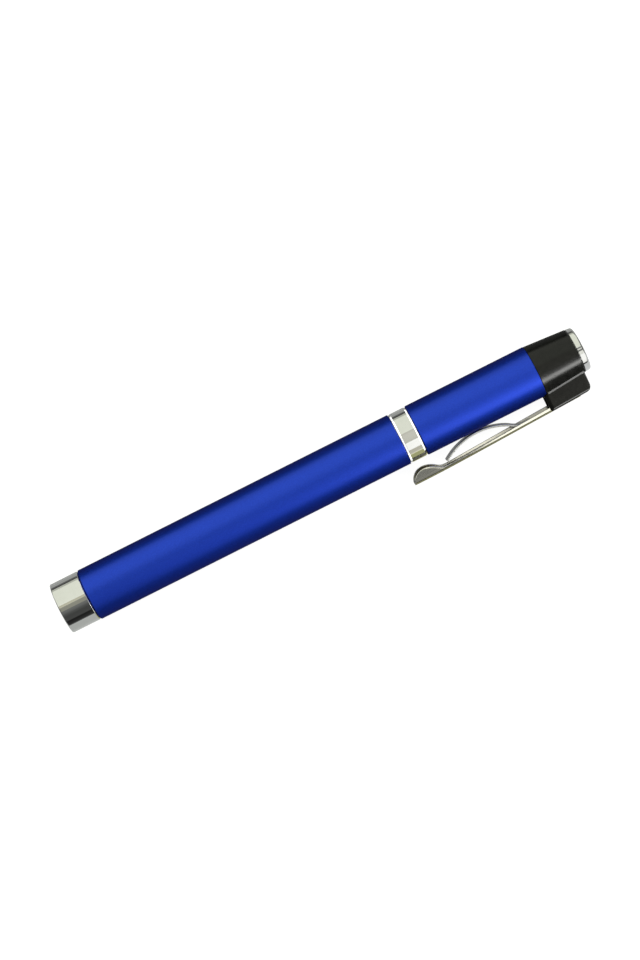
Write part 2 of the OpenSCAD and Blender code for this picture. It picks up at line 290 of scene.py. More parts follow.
def box2(x, y, hx, hy, r):
    """Distance to a rectangle of half sizes hx, hy with corners of radius r."""
    qx, qy = np.abs(x) - hx + r, np.abs(y) - hy + r
    return np.minimum(np.maximum(qx, qy), 0.0) + np.sqrt(
        np.maximum(qx, 0.0) ** 2 + np.maximum(qy, 0.0) ** 2) - r


def polygon_distance(x, y, poly):
    """Signed distance to a closed outline, negative inside."""
    x, y = np.broadcast_arrays(np.asarray(x, float), np.asarray(y, float))
    best = np.full(x.shape, 1e9)
    inside = np.zeros(x.shape, bool)
    n = len(poly)
    for i in range(n):
        ax, ay = poly[i - 1]
        bx, by = poly[i]
        ex, ey = bx - ax, by - ay
        wx, wy = x - ax, y - ay
        t = np.clip((wx * ex + wy * ey) / (ex * ex + ey * ey), 0.0, 1.0)
        dx, dy = wx - ex * t, wy - ey * t
        best = np.minimum(best, dx * dx + dy * dy)
        cross = ((ay <= y) & (by > y)) | ((by <= y) & (ay > y))
        if ey != 0:
            inside ^= cross & (x < ax + (y - ay) * ex / ey)
    d = np.sqrt(best)
    return np.where(inside, -d, d)


def smooth_curve(pts, per=5):
    """Catmull-Rom points through an open run of points."""
    p = np.array(pts, float)
    q = np.vstack([2 * p[0] - p[1], p, 2 * p[-1] - p[-2]])
    out = []
    for i in range(1, len(q) - 2):
        for j in range(per):
            t = j / per
            out.append(0.5 * ((2 * q[i]) + (-q[i - 1] + q[i + 1]) * t
                              + (2 * q[i - 1] - 5 * q[i] + 4 * q[i + 1] - q[i + 2]) * t * t
                              + (-q[i - 1] + 3 * q[i] - 3 * q[i + 1] + q[i + 2]) * t ** 3))
    out.append(p[-1])
    return [tuple(v) for v in out]


def steps(*runs):
    """Grid lines from (start, end, spacing) runs that follow on from each other."""
    out = []
    for a, b, h in runs:
        k = max(1, int(round((b - a) / h)))
        out.append(a + (b - a) * np.arange(k) / k)
    out.append(np.array([runs[-1][1]]))
    return np.concatenate(out)


def surface_net(dist, gs, gb, gc):
    """Quads on the zero surface of dist(s, b, c), with every vertex moved onto the surface.
    Returns points, faces and the surface's own normals."""
    f = np.asarray(dist(gs[:, None, None], gb[None, :, None], gc[None, None, :]), float)
    f = np.broadcast_to(f, (len(gs), len(gb), len(gc)))
    ins = f < 0
    corner = [(i, j, k) for i in (0, 1) for j in (0, 1) for k in (0, 1)]
    n0, n1, n2 = f.shape

    def shifted(a, o):
        return a[o[0]:n0 - 1 + o[0], o[1]:n1 - 1 + o[1], o[2]:n2 - 1 + o[2]]
    every = np.ones((n0 - 1, n1 - 1, n2 - 1), bool)
    some = np.zeros_like(every)
    for o in corner:
        v = shifted(ins, o)
        every &= v
        some |= v
    act = some & ~every
    cells = np.argwhere(act)
    ids = np.full(act.shape, -1, np.int64)
    ids[act] = np.arange(len(cells))
    total = np.zeros((len(cells), 3))
    num = np.zeros(len(cells))
    for a in corner:
        for axis in range(3):
            if a[axis] == 1:
                continue
            b = list(a)
            b[axis] = 1
            ia, ib = cells + np.array(a), cells + np.array(b)
            fa = f[ia[:, 0], ia[:, 1], ia[:, 2]]
            fb = f[ib[:, 0], ib[:, 1], ib[:, 2]]
            hit = (fa < 0) != (fb < 0)
            t = np.where(hit, fa / np.where(hit, fa - fb, 1.0), 0.0)
            pa = np.stack([gs[ia[:, 0]], gb[ia[:, 1]], gc[ia[:, 2]]], 1)
            pb = np.stack([gs[ib[:, 0]], gb[ib[:, 1]], gc[ib[:, 2]]], 1)
            total += np.where(hit[:, None], pa + (pb - pa) * t[:, None], 0.0)
            num += hit
    p = total / np.maximum(num, 1)[:, None]

    faces = []
    for axis in range(3):
        lo = [slice(None)] * 3
        hi = [slice(None)] * 3
        lo[axis], hi[axis] = slice(0, -1), slice(1, None)
        change = ins[tuple(lo)] != ins[tuple(hi)]
        e = np.argwhere(change)
        o1, o2 = [(1, 2), (2, 0), (0, 1)][axis]
        ok = (e[:, o1] > 0) & (e[:, o2] > 0)
        ok &= (e[:, o1] < f.shape[o1] - 1) & (e[:, o2] < f.shape[o2] - 1)
        e = e[ok]
        start = ins[e[:, 0], e[:, 1], e[:, 2]]

        def cell(d1, d2):
            q = e.copy()
            q[:, o1] -= d1
            q[:, o2] -= d2
            return ids[q[:, 0], q[:, 1], q[:, 2]]
        quad = np.stack([cell(1, 1), cell(0, 1), cell(0, 0), cell(1, 0)], 1)
        quad[~start] = quad[~start][:, ::-1]
        faces.append(quad)
    faces = np.concatenate(faces)

    h = 1e-3

    def grad(q):
        g = np.empty_like(q)
        for k in range(3):
            d = np.zeros(3)
            d[k] = h
            a, b = q + d, q - d
            g[:, k] = (dist(a[:, 0], a[:, 1], a[:, 2]) - dist(b[:, 0], b[:, 1], b[:, 2])) / (2 * h)
        return g

    def settle(q, times):
        for _ in range(times):
            v = dist(q[:, 0], q[:, 1], q[:, 2])
            g = grad(q)
            step = v[:, None] * g / np.maximum((g * g).sum(1), 0.05)[:, None]
            length = np.linalg.norm(step, axis=1, keepdims=True)
            q = q - step * np.minimum(1.0, 0.1 / np.maximum(length, 1e-9))
        return q
    p = settle(p, 4)
    # even the spacing along the surface
    for _ in range(3):
        acc = np.zeros_like(p)
        cnt = np.zeros(len(p))
        for k in range(4):
            a, b = faces[:, k], faces[:, (k + 1) % 4]
            np.add.at(acc, a, p[b])
            np.add.at(acc, b, p[a])
            np.add.at(cnt, a, 1)
            np.add.at(cnt, b, 1)
        mean = acc / np.maximum(cnt, 1)[:, None]
        g = grad(p)
        g /= np.maximum(np.linalg.norm(g, axis=1, keepdims=True), 1e-6)
        move = (mean - p) * 0.5
        move -= (move * g).sum(1, keepdims=True) * g
        p = settle(p + move, 2)
    g = grad(p)
    return p, [tuple(q) for q in faces], g


# ------------------------------------------------------------------ materials
def new_material(name):
    m = bpy.data.materials.new(name)
    m.use_nodes = True
    nt = m.node_tree
    for n in list(nt.nodes):
        nt.nodes.remove(n)
    out = nt.nodes.new("ShaderNodeOutputMaterial")
    sh = nt.nodes.new("ShaderNodeBsdfPrincipled")
    nt.links.new(sh.outputs["BSDF"], out.inputs["Surface"])
    return m, nt, sh


def coords(nt, scale=(1, 1, 1)):
    tc = nt.nodes.new("ShaderNodeTexCoord")
    mp = nt.nodes.new("ShaderNodeMapping")
    mp.inputs["Scale"].default_value = scale
    nt.links.new(tc.outputs["Object"], mp.inputs["Vector"])
    return mp.outputs["Vector"]


def noise(nt, vec, scale, detail=2.0, rough=0.5, distortion=0.0):
    n = nt.nodes.new("ShaderNodeTexNoise")
    n.inputs["Scale"].default_value = scale
    n.inputs["Detail"].default_value = detail
    n.inputs["Roughness"].default_value = rough
    n.inputs["Distortion"].default_value = distortion
    nt.links.new(vec, n.inputs["Vector"])
    return n.outputs["Fac"]


def remap(nt, fac, lo, hi, a=0.3, b=0.7):
    n = nt.nodes.new("ShaderNodeMapRange")
    n.inputs["From Min"].default_value = a
    n.inputs["From Max"].default_value = b
    n.inputs["To Min"].default_value = lo
    n.inputs["To Max"].default_value = hi
    nt.links.new(fac, n.inputs["Value"])
    return n.outputs["Result"]


def two_colours(nt, fac, c0, c1, p0=0.35, p1=0.65):
    n = nt.nodes.new("ShaderNodeValToRGB")
    e = n.color_ramp.elements
    e[0].position, e[0].color = p0, (*c0, 1)
    e[1].position, e[1].color = p1, (*c1, 1)
    nt.links.new(fac, n.inputs["Fac"])
    return n.outputs["Color"]


def bump(nt, sh, height, strength, distance):
    n = nt.nodes.new("ShaderNodeBump")
    n.inputs["Strength"].default_value = strength
    n.inputs["Distance"].default_value = distance
    nt.links.new(height, n.inputs["Height"])
    nt.links.new(n.outputs["Normal"], sh.inputs["Normal"])
    return n


def metal(name, c0, c1, rough, spread, grain=900, stretch=(1, 1, 1), bump_strength=0.0,
          bump_scale=4000, tint=None):
    m, nt, sh = new_material(name)
    v = coords(nt, stretch)
    big = noise(nt, v, grain, 3.0, 0.55)
    fine = noise(nt, v, bump_scale, 2.0, 0.6)
    nt.links.new(two_colours(nt, big, c0, c1), sh.inputs["Base Color"])
    nt.links.new(remap(nt, fine, rough - spread, rough + spread), sh.inputs["Roughness"])
    sh.inputs["Metallic"].default_value = 1.0
    if tint is not None:
        sh.inputs["Specular Tint"].default_value = (*tint, 1)
    if bump_strength:
        bump(nt, sh, fine, bump_strength, 0.00002)
    return m


def plastic(name, c0, c1, rough, spread, grain=1500, bump_strength=0.05, bump_scale=9000, spec=0.5):
    m, nt, sh = new_material(name)
    v = coords(nt)
    big = noise(nt, v, grain, 3.0, 0.5)
    fine = noise(nt, v, bump_scale, 2.0, 0.55)
    nt.links.new(two_colours(nt, big, c0, c1), sh.inputs["Base Color"])
    nt.links.new(remap(nt, big, rough - spread, rough + spread), sh.inputs["Roughness"])
    sh.inputs["Specular IOR Level"].default_value = spec
    if bump_strength:
        bump(nt, sh, fine, bump_strength, 0.00003)
    return m


# satin blue anodising: fine etched grain, darker towards grazing angles
mat_blue, nt, sh = new_material("blue_anodised")
v = coords(nt)
grain = noise(nt, v, 3600, 3.0, 0.65)
cloud = noise(nt, v, 160, 2.0, 0.5)
etch = noise(nt, v, 9500, 1.0, 0.5)
col = two_colours(nt, grain, (0.008, 0.040, 0.455), (0.012, 0.053, 0.555), 0.3, 0.7)
nt.links.new(col, sh.inputs["Base Color"])
mixr = nt.nodes.new("ShaderNodeMath")
mixr.operation = "MULTIPLY_ADD"
mixr.inputs[1].default_value = 0.05
nt.links.new(cloud, mixr.inputs[0])
nt.links.new(remap(nt, grain, 0.42, 0.47), mixr.inputs[2])
nt.links.new(mixr.outputs[0], sh.inputs["Roughness"])
sh.inputs["Metallic"].default_value = 1.0
sh.inputs["Specular Tint"].default_value = (0.02, 0.03, 0.10, 1)
sh.distribution = "GGX"
sh.inputs["Coat Weight"].default_value = 0.27
sh.inputs["Coat Roughness"].default_value = 0.30
bump(nt, sh, etch, 0.04, 0.00002)

mat_chrome = metal("bright_plate", (0.535, 0.538, 0.528), (0.56, 0.562, 0.555), 0.05, 0.012, grain=260,
                   bump_scale=2600)
# plated clip: faint drawing lines along its length
mat_clip = metal("clip_steel", (0.59, 0.575, 0.52), (0.65, 0.635, 0.575), 0.12, 0.03, grain=1400,
                 stretch=(0.04, 1, 1), bump_strength=0.008, bump_scale=3600, tint=(0.45, 0.44, 0.40))
mat_spring = metal("spring_steel", (0.46, 0.46, 0.46), (0.54, 0.54, 0.53), 0.30, 0.04, grain=1600,
                   stretch=(0.12, 1, 1), bump_strength=0.012, bump_scale=3400, tint=(0.55, 0.55, 0.55))
mat_brass = metal("contact_brass", (0.70, 0.50, 0.22), (0.80, 0.60, 0.30), 0.22, 0.06, bump_strength=0.03)
mat_reflector = metal("reflector_bright", (0.86, 0.86, 0.87), (0.90, 0.90, 0.90), 0.06, 0.015, grain=500)
mat_tin = metal("tinned_wire", (0.62, 0.62, 0.62), (0.74, 0.74, 0.73), 0.25, 0.08, bump_strength=0.06)
mat_cellsteel = metal("cell_steel", (0.60, 0.60, 0.59), (0.68, 0.68, 0.66), 0.24, 0.05, grain=700,
                      bump_strength=0.04)
mat_cellbase = metal("cell_base", (0.58, 0.58, 0.57), (0.66, 0.66, 0.65), 0.2, 0.05, grain=900,
                     bump_strength=0.04)
mat_black = plastic("black_plastic", (0.0022, 0.0023, 0.0020), (0.0042, 0.0043, 0.0037), 0.24, 0.03,
                    grain=900, bump_strength=0.008, bump_scale=5000, spec=0.235)
mat_white = plastic("white_plastic", (0.74, 0.72, 0.66), (0.82, 0.80, 0.75), 0.42, 0.05)
mat_resistor = plastic("resistor_dark", (0.012, 0.012, 0.013), (0.03, 0.03, 0.03), 0.4, 0.06)

# board: green mask over woven glass
mat_board, nt, sh = new_material("board_green")
v = coords(nt)
wv = nt.nodes.new("ShaderNodeTexChecker")
wv.inputs["Scale"].default_value = 2600
nt.links.new(v, wv.inputs["Vector"])
nt.links.new(two_colours(nt, noise(nt, v, 1300, 3.0), (0.012, 0.09, 0.03), (0.02, 0.14, 0.05)),
             sh.inputs["Base Color"])
nt.links.new(remap(nt, wv.outputs["Fac"], 0.28, 0.36, 0, 1), sh.inputs["Roughness"])
bump(nt, sh, wv.outputs["Fac"], 0.05, 0.00002)

# printed film on the cells: dark body with one copper-coloured band, split by station
mat_wrap, nt, sh = new_material("cell_wrap")
v = coords(nt)
sep = nt.nodes.new("ShaderNodeSeparateXYZ")
nt.links.new(v, sep.inputs[0])
saw = nt.nodes.new("ShaderNodeMath")
saw.operation = "PINGPONG"
saw.inputs[1].default_value = 0.02226
shift = nt.nodes.new("ShaderNodeMath")
shift.operation = "ADD"
shift.inputs[1].default_value = 0.0475
nt.links.new(sep.outputs["X"], shift.inputs[0])
nt.links.new(shift.outputs[0], saw.inputs[0])
ramp = nt.nodes.new("ShaderNodeValToRGB")
e = ramp.color_ramp.elements
e[0].position, e[0].color = 0.0, (0.50, 0.24, 0.09, 1)
e[1].position, e[1].color = 0.30, (0.52, 0.26, 0.10, 1)
for pos, cc in ((0.305, (0.55, 0.55, 0.54)), (0.33, (0.55, 0.55, 0.54)), (0.335, (0.018, 0.019, 0.022)),
                (1.0, (0.022, 0.023, 0.027))):
    q = e.new(pos)
    q.color = (*cc, 1)
nrm = nt.nodes.new("ShaderNodeMath")
nrm.operation = "DIVIDE"
nrm.inputs[1].default_value = 0.02226
nt.links.new(saw.outputs[0], nrm.inputs[0])
nt.links.new(nrm.outputs[0], ramp.inputs["Fac"])
nt.links.new(ramp.outputs["Color"], sh.inputs["Base Color"])
nt.links.new(remap(nt, noise(nt, v, 900), 0.22, 0.3), sh.inputs["Roughness"])
sh.inputs["Coat Weight"].default_value = 0.3

# clear window
mat_lens, nt, sh = new_material("clear_lens")
v = coords(nt)
nt.links.new(two_colours(nt, noise(nt, v, 350), (0.975, 0.985, 0.99), (0.99, 0.995, 1.0)),
             sh.inputs["Base Color"])
nt.links.new(remap(nt, noise(nt, v, 2600), 0.0, 0.025), sh.inputs["Roughness"])
sh.inputs["Transmission Weight"].default_value = 1.0
sh.inputs["IOR"].default_value = 1.49

# clear lamp epoxy with a slight tint, and the phosphor inside it
mat_epoxy, nt, sh = new_material("lamp_epoxy")
v = coords(nt)
nt.links.new(two_colours(nt, noise(nt, v, 500), (0.95, 0.96, 0.94), (0.98, 0.98, 0.96)),
             sh.inputs["Base Color"])
nt.links.new(remap(nt, noise(nt, v, 3000), 0.01, 0.05), sh.inputs["Roughness"])
sh.inputs["Transmission Weight"].default_value = 0.96
sh.inputs["IOR"].default_value = 1.53
mat_phosphor = plastic("lamp_phosphor", (0.80, 0.60, 0.07), (0.88, 0.70, 0.14), 0.5, 0.05, grain=5200)

SLOT = {"blue_anodised": mat_blue, "bright_plate": mat_chrome, "black_plastic": mat_black,
        "clip_steel": mat_clip, "spring_steel": mat_spring, "contact_brass": mat_brass,
        "clear_lens": mat_lens, "reflector_bright": mat_reflector, "lamp_epoxy": mat_epoxy,
        "white_plastic": mat_white, "board_green": mat_board, "resistor_dark": mat_resistor,
        "tinned_wire": mat_tin, "cell_steel": mat_cellsteel, "cell_wrap": mat_wrap,
        "cell_base": mat_cellbase}


def dress(ob, slot, mat=None):
    ob.data.materials.clear()
    ob.data.materials.append(mat or SLOT[slot])
    return ob


def piece(ob, body, slot, *replaced, mat=None):
    dress(ob, slot, mat)
    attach(ob, body)
    if replaced:
        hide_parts(*replaced)
    return ob


for row in frame["record"]["subparts"]:
    ob = nodes[row["node"]]
    dress(ob, row["material_slot"])
    ob.data.shade_smooth()
    ob.data.set_sharp_from_angle(angle=math.radians(32))

# ------------------------------------------------------------------ head and lamp
head = lathe("head_shell", [
    (3.9, 0.9, 0.04), (4.47, 0.04, 0.05), (4.9, 0.0005, 0.12), (5.55, 0.0005, 0.05), (6.2, 0.0005, 0.65),
    (6.2, 6.9, 0.05), (5.95, 7.2, 0.05), (5.42, 7.2, 0.03), (5.42, 12.95, 0.05), (5.17, 13.2, 0.05),
    (4.6, 13.2, 0.03), (4.6, 0.9, 0.03)])
piece(head, "front_body", "bright_plate", "head_bezel")

lens_arc = [(15.6 * math.sin(a), 0.47 + 15.6 * (1 - math.cos(a)))
            for a in np.linspace(0, math.asin(3.7 / 15.6), 14)]
lens_path = [(0.0, 2.1)] + [(4.4, 2.1), (4.53, 2.09), (4.57, 2.05), (4.57, 1.0), (4.55, 0.96),
                            (4.5, 0.95), (3.85, 0.95), (3.78, 0.94)] + lens_arc[::-1]
p, f = lathe_data(lens_path, 160, closed=False)
piece(make_object("front_window", p, f), "front_body", "clear_lens", "front_lens")

cup = [(2.62 + 1.58 * math.sqrt(max(0.0, (8.6 - s) / 6.47)), s)
       for s in 8.6 - 6.47 * np.linspace(0.0, 1.0, 40) ** 2]
cup_path = [(3.2, 8.6)] + cup + [(4.24, 2.13), (4.54, 2.13), (4.57, 2.17), (4.57, 3.4), (3.3, 8.2)]
p, f = lathe_data(cup_path, 160)
ob = make_object("reflector_cup", p, f)
ob.data.set_sharp_from_angle(angle=math.radians(35))
piece(ob, "front_body", "reflector_bright", "reflector")

dome = [(2.5 * math.sin(a), 7.1 - 2.5 * math.cos(a)) for a in np.linspace(0, math.pi / 2, 20)]
lamp_path = [(0.0, 4.6)] + dome[1:] + [(2.5, 7.2), (2.5, 10.1), (2.52, 10.16), (2.58, 10.18), (2.86, 10.18),
                                       (2.9, 10.22), (2.9, 11.14), (2.86, 11.2), (0.0, 11.2)]
p, f = lathe_data(lamp_path, 128, closed=False)
piece(make_object("lamp_body", p, f), "front_body", "lamp_epoxy", "led_emitter")
# inside the lamp: lead frame cup with its phosphor, and the second post
p, f = lathe_data([(0.0, 7.55), (0.5, 7.6), (0.62, 7.5), (0.7, 7.12), (0.86, 7.05), (0.92, 7.1), (0.9, 8.1),
                   (0.45, 8.5), (0.3, 9.2), (0.28, 11.1), (0.0, 11.1)], 64, closed=False)
cup_pts = p + np.array([0, 0.42, 0.0])
q, g = lathe_data([(0.0, 8.3), (0.42, 8.3), (0.46, 8.36), (0.46, 8.9), (0.3, 9.4), (0.28, 11.1), (0.0, 11.1)], 48,
                  closed=False)
post_pts = q + np.array([0, -1.15, 0.0])
piece(make_object("lamp_frame", *merge((cup_pts, f), (post_pts, g))), "front_body", "tinned_wire")
p, f = lathe_data([(0.0, 7.18), (0.35, 7.2), (0.6, 7.27), (0.66, 7.36), (0.6, 7.48), (0.0, 7.53)], 48, closed=False)
piece(make_object("lamp_phosphor", p + np.array([0, 0.42, 0.0]), f), "front_body", "lamp_epoxy", mat=mat_phosphor)

# ------------------------------------------------------------------ tubes and ring
tube = lathe_data(rounded([
    (5.45, 7.28, 0.03), (6.2998, 7.28, 0.2), (6.2998, 87.77, 0.2), (5.92, 87.77, 0.05), (5.92, 82.45, 0.05),
    (5.45, 81.95, 0.05)]), 192)
ob = make_object("front_barrel", *merge(tube, helix_ridge(5.98, 5.62, 0.27, 0.10, 83.70, 0.8, 4.4)))
piece(ob, "front_body", "blue_anodised", "front_tube")

ring = lathe_data(rounded([
    (5.25, 82.85, 0.03), (5.42, 82.85, 0.03), (5.52, 82.95, 0.03), (5.52, 87.85, 0.03), (6.0, 87.85, 0.03),
    (6.2, 88.3, 0.08), (6.2, 91.7, 0.08), (6.0, 92.15, 0.03), (5.72, 92.15, 0.03), (5.72, 97.45, 0.05),
    (5.52, 97.65, 0.05), (5.25, 97.65, 0.03)]), 192)
ob = make_object("thread_ring", *merge(ring, helix_ridge(5.46, 5.80, 0.27, 0.10, 83.30, 0.8, 4.4)))
piece(ob, "rear_body", "bright_plate", "coupling_ring")

rear = lathe("rear_barrel", [
    (5.75, 92.23, 0.03), (6.2998, 92.23, 0.2), (6.2998, 122.88, 0.12), (5.45, 122.88, 0.03), (5.45, 97.75, 0.03),
    (5.75, 97.75, 0.03)])
piece(rear, "rear_body", "blue_anodised", "rear_tube")

plug = lathe("tail_cap", [
    (0.0, 122.0, 0), (3.7, 122.0, 0.05), (3.95, 122.25, 0.05), (3.95, 133.37, 0.03), (4.7, 133.37, 0.03),
    (4.7, 133.45, 0.02), (5.37, 133.45, 0.02), (5.43, 133.51, 0.04), (5.285, 134.9995, 0.6), (0.0, 134.9995, 0)],
    closed=False)
piece(plug, "rear_body", "bright_plate", "tail_plug")

# ------------------------------------------------------------------ collar with its clip boss
cone_data = lathe_data(rounded([
    (4.6, 112.5, 0.05), (5.12, 112.5, 0.05), (5.42, 112.9, 0.08), (5.42, 122.9, 0.03), (6.24, 122.9, 0.12),
    (5.49, 133.35, 0.2), (4.0, 133.35, 0.05), (4.0, 122.0, 0.03), (4.6, 122.0, 0.05)]), 192)

BOSS = ([(122.15, 3.0)]
        + [(122.75 - 0.6 * math.cos(a), 9.35 + 0.6 * math.sin(a)) for a in np.radians(np.linspace(0, 92.7, 8))]
        + [(131.42 + 1.6 * math.cos(a), 7.85 + 1.6 * math.sin(a))
           for a in np.radians(np.linspace(87.3, 2.0, 14))] + [(133.12, 3.0)])
SLOPE = math.atan((9.97 - 9.45) / 10.89)


def cone_radius(s):
    return 6.24 - (s - 122.9) * (6.24 - 5.49) / 10.45


def boss_distance(s, b, c):
    r = np.sqrt(b * b + c * c)
    side = polygon_distance(s, c, BOSS)
    plan = box2(s - 127.65, b, 5.5, 3.15, 1.0)
    block = round_and(side, plan, 0.1)
    # outer face and cheeks meet in a soft edge
    out = (c - (9.97 - (s - 122.15) * math.tan(SLOPE))) * math.cos(SLOPE)
    bevel = (np.abs(b) - 3.15 + 0.335 * (out + 0.62)) * 0.948
    block = np.maximum(block, round_and(out, np.maximum(bevel, np.abs(b) - 3.15), 0.4))
    # the front overhang stands just clear of the tube
    block = np.where(s < 123.05, round_and(block, 6.38 - r, 0.05), block)
    cone = np.maximum((r - cone_radius(s) + 0.003) * 0.9967, np.maximum(123.1 - s, s - 133.2))
    # the cheeks flare a little where they run into the collar
    root = np.sqrt(np.maximum(cone_radius(s) ** 2 - 10.24, 1.0)) + 0.5
    flare = np.maximum((np.abs(b) - 3.15 - 0.335 * (root - c)) * 0.948, c - root - 0.06)
    flare = np.maximum(flare, np.maximum(side, np.maximum(123.15 - s, s - 132.9)))
    d = round_or(np.minimum(block, flare), cone, 0.12)
    d = np.where(s < 123.2, block, d)
    # slot for the clip's foot
    floor = np.where(s < 123.5, 6.40, np.where(s > 124.1, 6.86, 6.40 + (s - 123.5) * 0.7667))
    slot = np.maximum(np.maximum(np.abs(b) - 2.35, s - 130.3), floor - c)
    d = round_and(d, -slot, 0.07)
    # pin hole in the cheek away from the closed one
    hole = np.maximum(np.sqrt((s - 127.5) ** 2 + (c - 8.4) ** 2) - 0.61, b + 1.0)
    d = round_and(d, -hole, 0.05)
    # keep only what belongs to the boss and its fillet
    return np.maximum(d, np.maximum(np.abs(b) - 4.2, np.maximum(4.7 - r, 3.4 - c)))


h = 0.095
boss_p, boss_f, boss_n = surface_net(boss_distance, steps((122.03, 133.28, h)), steps((-4.35, 4.35, h)),
                                     steps((3.2, 10.16, h)))
pts, faces = merge(cone_data, (boss_p, boss_f))
collar = make_object("collar_moulding", pts, faces)
piece(collar, "rear_body", "black_plastic", "tail_collar")

# ------------------------------------------------------------------ clip
def clip_out(s):
    return 10.21 + (122.0 - s) * 0.0365 - np.maximum(0.0, 100.0 - s) ** 2 * 0.0365 / 27.4


def clip_edge(s):
    return 9.957 - (s - 101.6) * 0.05


TILT = math.atan(0.0365)
EAR = smooth_curve([
    (86.36, 11.1), (86.42, 10.75), (86.58, 10.31), (86.98, 9.69), (87.48, 9.15), (88.03, 8.76), (88.66, 8.5),
    (89.3, 8.39), (89.9, 8.38), (90.5, 8.44), (91.2, 8.62), (91.9, 8.91), (92.6, 9.32), (93.3, 9.8), (94.0, 10.12),
    (94.7, 10.235), (95.4, 10.25), (96.2, clip_edge(96.2))], 4)
OUTLINE = ([(86.33, 11.6)] + EAR
           + [(s, clip_edge(s)) for s in (100.0, 108.0, 116.0, 123.2)]
           + smooth_curve([(124.4, 8.6), (125.4, 8.1), (126.3, 7.45), (127.5, 7.14), (129.2, 6.98), (129.85, 7.3),
                           (130.0, 7.8)], 4)
           + [(130.0, 10.6)])


def clip_distance(s, b, c):
    n = (clip_out(s) - c) * math.cos(TILT)
    # flanges lean out a little from the web; the tip's ears have softer edges
    across = np.abs(b) + 0.19 * np.clip(1.15 - n, 0.0, 1.15)
    outer = box2(across, n - 20.0, 2.2, 20.0, 0.8)
    inner = box2(across, n - 20.45, 1.75, 20.0, 0.12)
    sheet = np.maximum(outer, -inner)
    soft = 0.07 + 0.05 * np.clip((95.5 - s) / 2.0, 0.0, 1.0)
    edge = polygon_distance(s, c, OUTLINE)
    # shallow bevel along the ears' curved edges
    bevel = (across - 2.2 + 0.38 * (edge + 0.34)) * 0.935 - 3.0 * np.clip(s - 94.2, 0.0, 3.0)
    sheet = round_and(sheet, bevel, 0.04)
    d = round_and(sheet, edge, soft)
    d = round_and(d, box2(s - 110.0, b, 23.69, 2.2, 0.5), 0.08)
    hole = np.sqrt((s - 127.5) ** 2 + (c - 8.4) ** 2) - 0.65
    return round_and(d, -hole, 0.04)


h = 0.085
clip_p, clip_f, clip_n = surface_net(
    clip_distance, steps((86.18, 96.6, h), (96.6, 123.4, 0.55), (123.4, 130.2, h * 1.3)),
    steps((-2.34, 2.34, h)), steps((6.8, 11.42, h)))
clip = make_object("clip_lever_channel", clip_p, clip_f, normals=clip_n)
piece(clip, "clip_lever", "clip_steel", "clip")

# ------------------------------------------------------------------ bowed leaf spring
R0, T = 16.0, 0.45
CS, CC = 104.54, 6.37 + 16.0
line = []
rm = R0 - T / 2
a1 = math.asin(7.5 / R0)
for a in np.linspace(math.radians(-35.0), a1, 46):
    line.append((CS + rm * math.sin(a), CC - rm * math.cos(a)))


def foot(s):
    return clip_out(s) - 0.475 - T / 2


p0, p3 = np.array(line[-1]), np.array([115.5, foot(115.5)])
p1 = p0 + 1.5 * np.array([math.cos(a1 + 0.09), math.sin(a1 + 0.09)])
p2 = p3 - 1.9 * np.array([1.0, 0.05])
for t in np.linspace(0, 1, 19)[1:]:
    line.append(tuple((1 - t) ** 3 * p0 + 3 * (1 - t) ** 2 * t * p1 + 3 * (1 - t) * t * t * p2 + t ** 3 * p3))
for s in (115.8, 116.2, 116.7, 117.1, 117.16):
    line.append((s, foot(s)))
line = np.array(line)
tan = np.gradient(line, axis=0)
tan /= np.linalg.norm(tan, axis=1, keepdims=True)
path = [((q[0], q[1]), (-w[1], w[0])) for q, w in zip(line, tan)]
e, rr = 1.6, 0.12
section = []
for sx, sy, a0 in ((1, 1, 0), (-1, 1, 90), (-1, -1, 180), (1, -1, 270)):
    for a in np.radians(np.linspace(a0, a0 + 90, 5)):
        section.append((sx * (e - rr) + rr * math.cos(a), sy * (T / 2 - rr) + rr * math.sin(a)))
leaf = make_object("leaf_bow", *sweep(path, section))
leaf.data.set_sharp_from_angle(angle=math.radians(50))
piece(leaf, "clip_lever", "spring_steel", "clip_spring")
foot_w = world([(115.8, 0.0, clip_out(115.8) - 0.47)])[0]
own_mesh(leaf)

# ------------------------------------------------------------------ spring behind the cells
coil = make_object("cell_spring", *coil_data(3.4, 0.3, 109.05, 121.97, 7))
dress(coil, "spring_steel")
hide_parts("tail_spring")
tuple(world([(121.3, 0, 0)])[0])
tuple(world([(109.8, 0, 0)])[0])
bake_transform(coil)

# ------------------------------------------------------------------ floor, light, camera
floor_z = float(cad_lo.z) - 0.00002
me = bpy.data.meshes.new("floor")
n, size = 24, 3.2
g = np.linspace(-size, size, n)
me.from_pydata([(x, y, floor_z) for x in g for y in g], [],
               [(i * n + j, (i + 1) * n + j, (i + 1) * n + j + 1, i * n + j + 1)
                for i in range(n - 1) for j in range(n - 1)])
floor = bpy.data.objects.new("floor", me)
bpy.context.scene.collection.objects.link(floor)
m, nt, sh = new_material("floor_white")
v = coords(nt)
nt.links.new(two_colours(nt, noise(nt, v, 3.0), (0.20, 0.20, 0.20), (0.21, 0.21, 0.21)), sh.inputs["Base Color"])
sh.inputs["Roughness"].default_value = 0.9
sh.inputs["Specular IOR Level"].default_value = 0.0
sh.inputs["Emission Color"].default_value = (1.0, 1.0, 1.0, 1)
sh.inputs["Emission Strength"].default_value = 0.92
me.materials.append(m)
floor.visible_glossy = False
floor.visible_shadow = False

THETA = math.radians(11.15)
VIEW = Vector((0, -math.sin(THETA), math.cos(THETA)))
UP0 = Vector((0, math.cos(THETA), math.sin(THETA)))
LEAN = math.radians(26.675)
RIGHT = Vector((math.cos(LEAN), 0, 0)) - math.sin(LEAN) * UP0
UPV = Vector((math.sin(LEAN), 0, 0)) + math.cos(LEAN) * UP0


